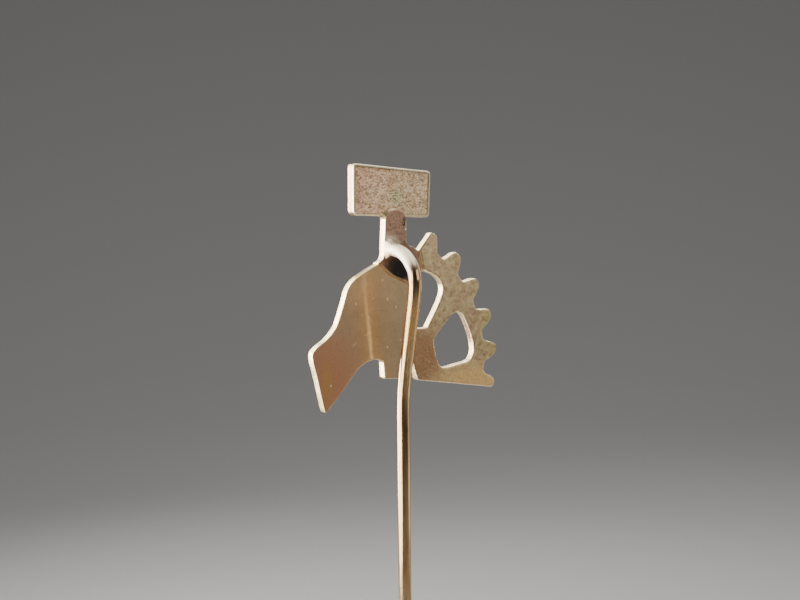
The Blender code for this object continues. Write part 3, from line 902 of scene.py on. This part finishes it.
def wire_skin():
    """Drawn gold wire: polished, with lengthwise lines and a few dark specks; a painted highlight
    whitens it round the arch, and painted shade dims it just below.
    """
    skin = Skin("pin wire, drawn gold")
    lines = skin.noise(1, 3, 0.6, (9, 9, 0.35))
    fine = skin.noise(14, 2)
    specks = skin.cells(3.2, (1.3, 1.3, 0.7))
    skin.base(skin.noise(0.5, 3), (226, 192, 144), (212, 175, 124))
    skin.tint(lines, 0.54, 0.38, 0.6, (158, 108, 68))
    skin.tint(fine, 0.62, 0.72, 0.25, (120, 84, 56))
    skin.tint(specks, 0.14, 0.05, 0.8, (70, 46, 30))
    arch = (-0.11, 1.9, 5.5)
    # painted highlight: the wire is whitened round the arch, standing in for the blown-out shine
    # there
    skin.lay(skin.near(arch, 3, soft=0.5), (246, 232, 205))
    # painted shade: a darker, deeper gold below the arch dims the wire's highlight there; the same
    # zone is also made rougher
    painted_shade_below_arch = skin.near((-0.11, 2.1, 0.4), 3.6, soft=0.5, wobble=0.2)
    skin.lay(skin.times(painted_shade_below_arch, 0.85), (222, 176, 112))
    skin.relief((lines, 0.004, 0.35), (fine, 0.0012, 0.3))
    soft = skin.times(skin.near(arch, 3.2, soft=0.6), 0.42)
    return skin.done(fine, 0.12, 0.2, skin.math("ADD", soft, skin.times(painted_shade_below_arch, 0.12)))


def turned_skin(name, light, dark, worn, rough):
    """Lathe-turned metal: fine rings round the axis, hairline scratches and bright corners."""
    skin = Skin(name)
    gap = skin.vector("SUBTRACT", skin.place, (0, PIN_STANDOFF, 0))
    flat = skin.vector("MULTIPLY", gap, (1, 1, 0))
    radius = skin.vector("LENGTH", flat, (0, 0, 0), "Value")
    join = skin.nodes.new("ShaderNodeCombineXYZ")
    skin.put(join.inputs[0], radius)
    skin.put(join.inputs[2], skin.axis(2))
    lines = skin.noise(14, 3, 0.5, place=join.outputs[0])
    fine = skin.noise(9, 3)
    skin.base(skin.ramp(skin.noise(0.7, 4), 0.35, 0.65), light, dark)
    skin.tint(lines, 0.5, 0.3, 0.35, dark, 0.5)
    skin.tint(skin.cells(1.6), 0.1, 0.04, 0.4, dark, 0.35)
    skin.lay(skin.wear(), worn)
    skin.relief((lines, 0.01, 0.45), (fine, 0.006, 0.3))
    return skin.done(fine, rough, rough + 0.12)


# ---- Pieces ----


def field_depth(x, z, inside, rim, sunk, stipple):
    """How far a stippled field lies under the raised border round it."""
    field = smooth_step(inside, rim - 0.05, rim + 0.04)
    bumps = 0.6 * (1 + ripple(x, z, 0.28, 2.0)) + 0.4 * (1 + ripple(x, z, 0.126, 4.0))
    return field * (sunk + stipple * bumps)


def head_back(x, z, inside):
    """A narrow smooth rim round a slightly sunk, granular field, and a burr at one corner."""
    field = smooth_step(inside, 0.17, 0.23)
    grain = 1.1 * (1 + ripple(x, z * 1.4, 0.24, 1.0)) + 0.6 * (1 + ripple(x, z, 0.11, 2.0))
    burr = math.exp(-((x + 3.67) ** 2 + 1.8 * (z - 12.50) ** 2) / 0.035)
    return field * (0.035 + 0.011 * grain) - 0.07 * burr


def wing_back(x, z, inside):
    """Nearly flat, with a slow undulation."""
    return 0.010 + 0.004 * ripple(x, z, 2.4, 1.0) + 0.001 * ripple(x, z, 0.35, 2.0)


def gear_back(x, z, inside):
    return 0.008 + 0.005 * ripple(x, z, 1.2, 6.0) + 0.004 * ripple(x, z, 0.28, 2.0)


def stem_back(x, z, inside):
    chip = math.exp(-((x + 1.67) ** 2 + 0.5 * (z - 8.30) ** 2) / 0.03)
    return 0.010 + 0.006 * ripple(x, z, 0.5, 6.0) + 0.006 * ripple(x, z, 0.24, 2.0) + 0.12 * chip


def stem_front_level(x, z):
    """The stem is half as thick where it laps behind the head."""
    place = (LAP_START, LAP_END)
    return np.interp(up_emblem(x, z), place, (-PLATE_THICKNESS, -TONGUE_THICKNESS))


def lap_points():
    """Points along both edges of the stem's step."""
    cos, sin = math.cos(EMBLEM_LEAN), math.sin(EMBLEM_LEAN)
    right, up = EMBLEM_OFFSET
    return [
        (across * cos - height * sin + right, across * sin + height * cos + up)
        for height in (LAP_START, LAP_END) for across in np.arange(-1.0, 1.01, 0.05)
    ]


def pin_wire(skin):
    """The drawn wire, slightly uneven in thickness, down to its point."""
    bends = smooth_line(PIN_ROUTE, 8)
    taper_top = PIN_POINT + PIN_TAPER
    heights = list(np.arange(bends[-1].z - 0.6, taper_top + 0.3, -0.6))
    heights += [taper_top - PIN_TAPER * step / 24 for step in range(25)]
    route = bends + [Vector((0.0, PIN_STANDOFF, height)) for height in heights]
    radii = []
    for place in route:
        share = max(0.0, (taper_top - place.z) / PIN_TAPER)
        drawn = 1 - 0.012 * abs(noise.noise(Vector((0.0, 0.0, place.z / 1.7))))
        radii.append(PIN_RADIUS * drawn * (1 - (1 - PIN_POINT_SHARE) * share**1.5))
    item = add_object("pin_wire_piece", *tube(route, radii, 36), sharp=50)
    stand_for(item, "pin_wire", "pin_gold", skin)


def push_points(mesh, amount):
    """Moves points along their normals by amount(place), all in millimetres."""
    normals = [point.normal.copy() for point in mesh.vertices]
    for point, normal in zip(mesh.vertices, normals):
        point.co += normal * (amount(point.co / MM) * MM)


def melted(item, voxel, rounds, lumps, size):
    """Turns an object's mesh into one closed, softened and slightly lumpy skin."""
    remesh = item.modifiers.new("melt", "REMESH")
    remesh.mode = "VOXEL"
    remesh.voxel_size = voxel * MM
    smooth = item.modifiers.new("flow", "SMOOTH")
    smooth.factor = 0.5
    smooth.iterations = rounds
    apply_modifiers(item)
    push_points(item.data, lambda place: noise.noise(place / size) * lumps)
    item.data.shade_smooth()
    item.data.materials.clear()


def seam_solder(node, skin, side_skin, swell=0.0):
    """The solder in a seam, settled to the level of the plates; swell spreads it over the gaps."""
    mesh = spend_shape(cad_shape(node), bpy.data.meshes.new(node))
    item = link_object(node + "_piece", mesh)
    melted(item, 0.03, 3, 0.014, 0.22)
    push_points(item.data, lambda place: swell)
    for point in item.data.vertices:
        level = 0.003 * ripple(point.co.x / MM, point.co.z / MM, 0.4) - 0.006
        point.co.y = min(point.co.y, level * MM)
    stand_for(item, node, "solder", skin, side_skin)
    for face in item.data.polygons:
        face.material_index = int(face.normal.y < 0.5)


def lap_solder(skin):
    """The fillet in the corner of neck and head, run on as a fine bead round the tongue's end."""
    stem = fine_outline(max(back_outlines("stem_plate"), key=len), 0.08)
    path = [Vector((x, -0.42, z)) for x, z in stem if up_emblem(x, z) > 2.84]
    gaps = [(path[index] - path[index - 1]).length for index in range(len(path))]
    start = max(range(len(path)), key=lambda index: gaps[index])
    path = path[start:] + path[:start]
    radii = [0.105 + 0.02 * noise.noise(place / 0.5) for place in path]
    item = add_object("solder_head_lap_piece", *tube(path, radii, 10))
    joined = bmesh.new()
    joined.from_mesh(item.data)
    joined.from_mesh(frame["nodes"]["solder_head_lap"].data)
    spend_shape(joined, item.data)
    melted(item, 0.028, 3, 0.012, 0.25)
    stand_for(item, "solder_head_lap", "solder", skin)


def foot_solder(skin):
    """The hollow-sided mound of solder round the pin's foot, cut off by the edge of the neck."""
    centre = Vector(PIN_ROUTE[0])
    bore = PIN_RADIUS - 0.06
    steps = 20
    sides = 96
    rings = steps + 2
    points = []
    for level in range(rings):
        share = min(1.0, level / steps)
        for number in range(sides):
            angle = math.tau * number / sides
            sway = noise.noise(Vector((2 * math.cos(angle), 2 * math.sin(angle), 0.5)))
            reach = FOOT_REACH + 0.10 * sway
            if math.cos(angle) > 0:
                reach = min(reach, FOOT_TRIM / math.cos(angle))
            radius = bore + (reach - bore) * share
            lump = 1 + 0.08 * noise.noise(Vector((2 * radius, 2 * angle, 0)))
            height = FOOT_HEIGHT * (1 - share) ** 2.2 * lump - FOOT_SUNK * share
            if level > steps:
                radius = bore
                height = -FOOT_SUNK
            x = centre.x + radius * math.cos(angle)
            points.append((x, height, centre.z + radius * math.sin(angle)))
    faces = ring_faces(rings, sides, closed=True)
    item = add_object("solder_pin_foot_piece", points, faces, sharp=60)
    stand_for(item, "solder_pin_foot", "solder", skin)


def cad_profile(node):
    """The closed profile of a turned CAD node, as (radius, height) in millimetres."""
    shape = cad_shape(node)

    def radius_of(point):
        return math.hypot(point.co.x, point.co.y - PIN_STANDOFF * MM)

    def on_plane(point):
        turn = math.atan2(point.co.y - PIN_STANDOFF * MM, point.co.x)
        return radius_of(point) < 1e-6 or abs(turn - math.radians(PROFILE_AZIMUTH)) < 1e-3

    chosen = {point for point in shape.verts if on_plane(point)}
    loop = [min(chosen, key=lambda point: (round(radius_of(point), 7), -point.co.z))]
    while True:
        options = [edge.other_vert(loop[-1]) for edge in loop[-1].link_edges]
        options = [point for point in options if point in chosen and point not in loop]
        if not options:
            break
        loop.append(options[0])
    profile = [(radius_of(point) / MM, point.co.z / MM) for point in loop]
    shape.free()
    return profile


def eased_profile(profile, ease, step):
    """A profile with its corners rounded and its runs divided, and each point's wear."""
    fine = []
    count = len(profile)
    for index, corner in enumerate(profile):
        corner = Vector(corner)
        before = Vector(profile[index - 1])
        after = Vector(profile[(index + 1) % count])
        if corner.x < 1e-6:
            fine.append((0.0, corner.y, 0.0))
            if after.x < 1e-6:
                continue
            leave = corner
        else:
            reach = min(ease, 0.4 * (before - corner).length, 0.4 * (after - corner).length)
            turn = (corner - before).angle(after - corner)
            enter = corner + (before - corner).normalized() * reach
            leave = corner + (after - corner).normalized() * reach
            rubbed = min(1.0, turn / 0.9)
            for number in range(5):
                t = number / 4
                place = enter.lerp(corner, t).lerp(corner.lerp(leave, t), t)
                fine.append((place.x, place.y, rubbed * (1 - abs(2 * t - 1) * 0.6)))
        reach = min(ease, 0.4 * (after - corner).length) if after.x > 1e-6 else 0.0
        arrive = after + (corner - after).normalized() * reach
        steps = int((arrive - leave).length / step)
        for number in range(1, steps):
            place = leave.lerp(arrive, number / steps)
            fine.append((place.x, place.y, 0.0))
    return fine


def turned_piece(node, slot, skin, pockets=False):
    """A turned part with eased corners, spun finely from its CAD profile."""
    fine = eased_profile(cad_profile(node), 0.07, 0.3)
    profile = [(radius, height) for radius, height, _ in fine]
    points, faces = lathe(profile, PIN_STANDOFF, TURNED_SIDES)
    wear = []
    for radius, _, rubbed in fine:
        wear += [rubbed] * (1 if radius < 1e-6 else TURNED_SIDES)
    item = add_object(node + "_piece", points, faces, sharp=40)
    set_wear(item, wear)
    if pockets:
        cut_pockets(item)
    stand_for(item, node, slot, skin)


def cut_pockets(item):
    """Cuts the round windows that hold the balls through the cage's wall."""
    drill = bmesh.new()
    for number in range(BALL_COUNT):
        angle = math.tau * number / BALL_COUNT
        centre = around(POCKET_CENTRE, angle, CLUTCH_FRONT - BALL_DEPTH)
        turn = Euler((0, math.pi / 2, angle)).to_matrix().to_4x4()
        bmesh.ops.create_cone(
            drill, cap_ends=True, segments=40, radius1=POCKET_RADIUS * MM,
            radius2=POCKET_RADIUS * MM, depth=POCKET_LENGTH * MM,
            matrix=Matrix.Translation(centre * MM) @ turn,
        )
    cutter = link_object("drill", spend_shape(drill, bpy.data.meshes.new("drill")))
    cut = item.modifiers.new("pockets", "BOOLEAN")
    cut.operation = "DIFFERENCE"
    cut.solver = "EXACT"
    cut.object = cutter
    apply_modifiers(item)
    bpy.data.objects.remove(cutter)


def clutch_spring(skin):
    """The coil spring, its end turns closed up."""
    low, high = (corner.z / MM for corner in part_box("clutch_spring"))
    rise = high - low - 2 * SPRING_WIRE
    turn_steps = 40
    count = int(SPRING_TURNS * turn_steps)
    route = []
    for index in range(count + 1):
        share = index / count
        angle = math.tau * index / turn_steps
        lift = share - 0.055 * math.sin(math.tau * share)
        route.append(around(SPRING_RADIUS, angle, high - SPRING_WIRE - rise * lift))
    radii = [SPRING_WIRE * 0.98] * len(route)
    item = add_object("clutch_spring_piece", *tube(route, radii, 14), sharp=50)
    stand_for(item, "clutch_spring", "steel", skin)
    return item


def clutch_ball(number, skin):
    """A polished ball with faint lapping ripples."""
    node = f"clutch_ball_{number}"
    low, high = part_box(node)
    shape = bmesh.new()
    radius = (high.z - low.z) / 2
    bmesh.ops.create_icosphere(shape, subdivisions=4, radius=radius)
    for point in shape.verts:
        point.co *= 1 - 0.004 * abs(noise.noise(point.co / (0.2 * MM)))
        point.co += (low + high) / 2
    mesh = spend_shape(shape, bpy.data.meshes.new(node))
    mesh.shade_smooth()
    stand_for(link_object(node + "_piece", mesh), node, "steel", skin)


def main():
    make_camera()
    make_stage()
    make_lights()
    bright = (255, 232, 180)
    field = plain_gold(
        "front field, matt gold", (206, 168, 104), (190, 150, 90), (236, 206, 150), 0.5, 0.45
    )
    rim = plain_gold(
        "front rim, polished gold", (240, 206, 138), (232, 194, 124), bright, 0.15, 0.2
    )
    cut = cut_edge_skin()
    solder = plain_gold("solder, pale", (232, 218, 184), (214, 196, 160), (250, 240, 215), 0.2, 0.28)
    seam = plain_gold(
        "seam solder, tarnished", (190, 154, 110), (164, 130, 92), (222, 190, 140), 0.4, 0.36
    )
    plate(
        "head_plate", "head_gold", (head_back_skin(), field, rim, cut), head_back,
        0.45, 0.13, spacing=0.085, edge=0.09,
    )
    stem = stem_back_skin()
    plate(
        "stem_plate", "stem_gold", (stem, field, rim, cut), stem_back,
        0.28, 0.06, 0.010, front_level=stem_front_level, extra=lap_points(),
    )
    plate(
        "wing_plate", "wing_gold", (wing_back_skin(), field, rim, cut), wing_back,
        0.45, 0.13, edge=0.09,
    )
    plate(
        "gear_plate", "gear_gold", (gear_back_skin(), field, rim, cut), gear_back,
        0.30, 0.10, edge=0.15,
    )
    pin_wire(wire_skin())
    seam_solder("solder_stem_wing", seam, cut, 0.055)
    seam_solder("solder_wing_gear", seam, cut, 0.055)
    seam_solder("solder_stem_gear", seam, cut)
    lap_solder(solder)
    foot_solder(stem)
    gold = turned_skin("clutch, turned gold", (238, 202, 132), (228, 188, 118), bright, 0.14)
    steel = turned_skin("clutch steel", (196, 196, 196), (180, 180, 182), (230, 230, 230), 0.16)
    turned_piece("clutch_shell", "clutch_gold", gold)
    turned_piece("clutch_cap", "clutch_gold", gold, pockets=True)
    turned_piece("clutch_retainer", "steel", steel)
    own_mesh(clutch_spring(steel))
    for number in range(1, BALL_COUNT + 1):
        clutch_ball(number, steel)


main()
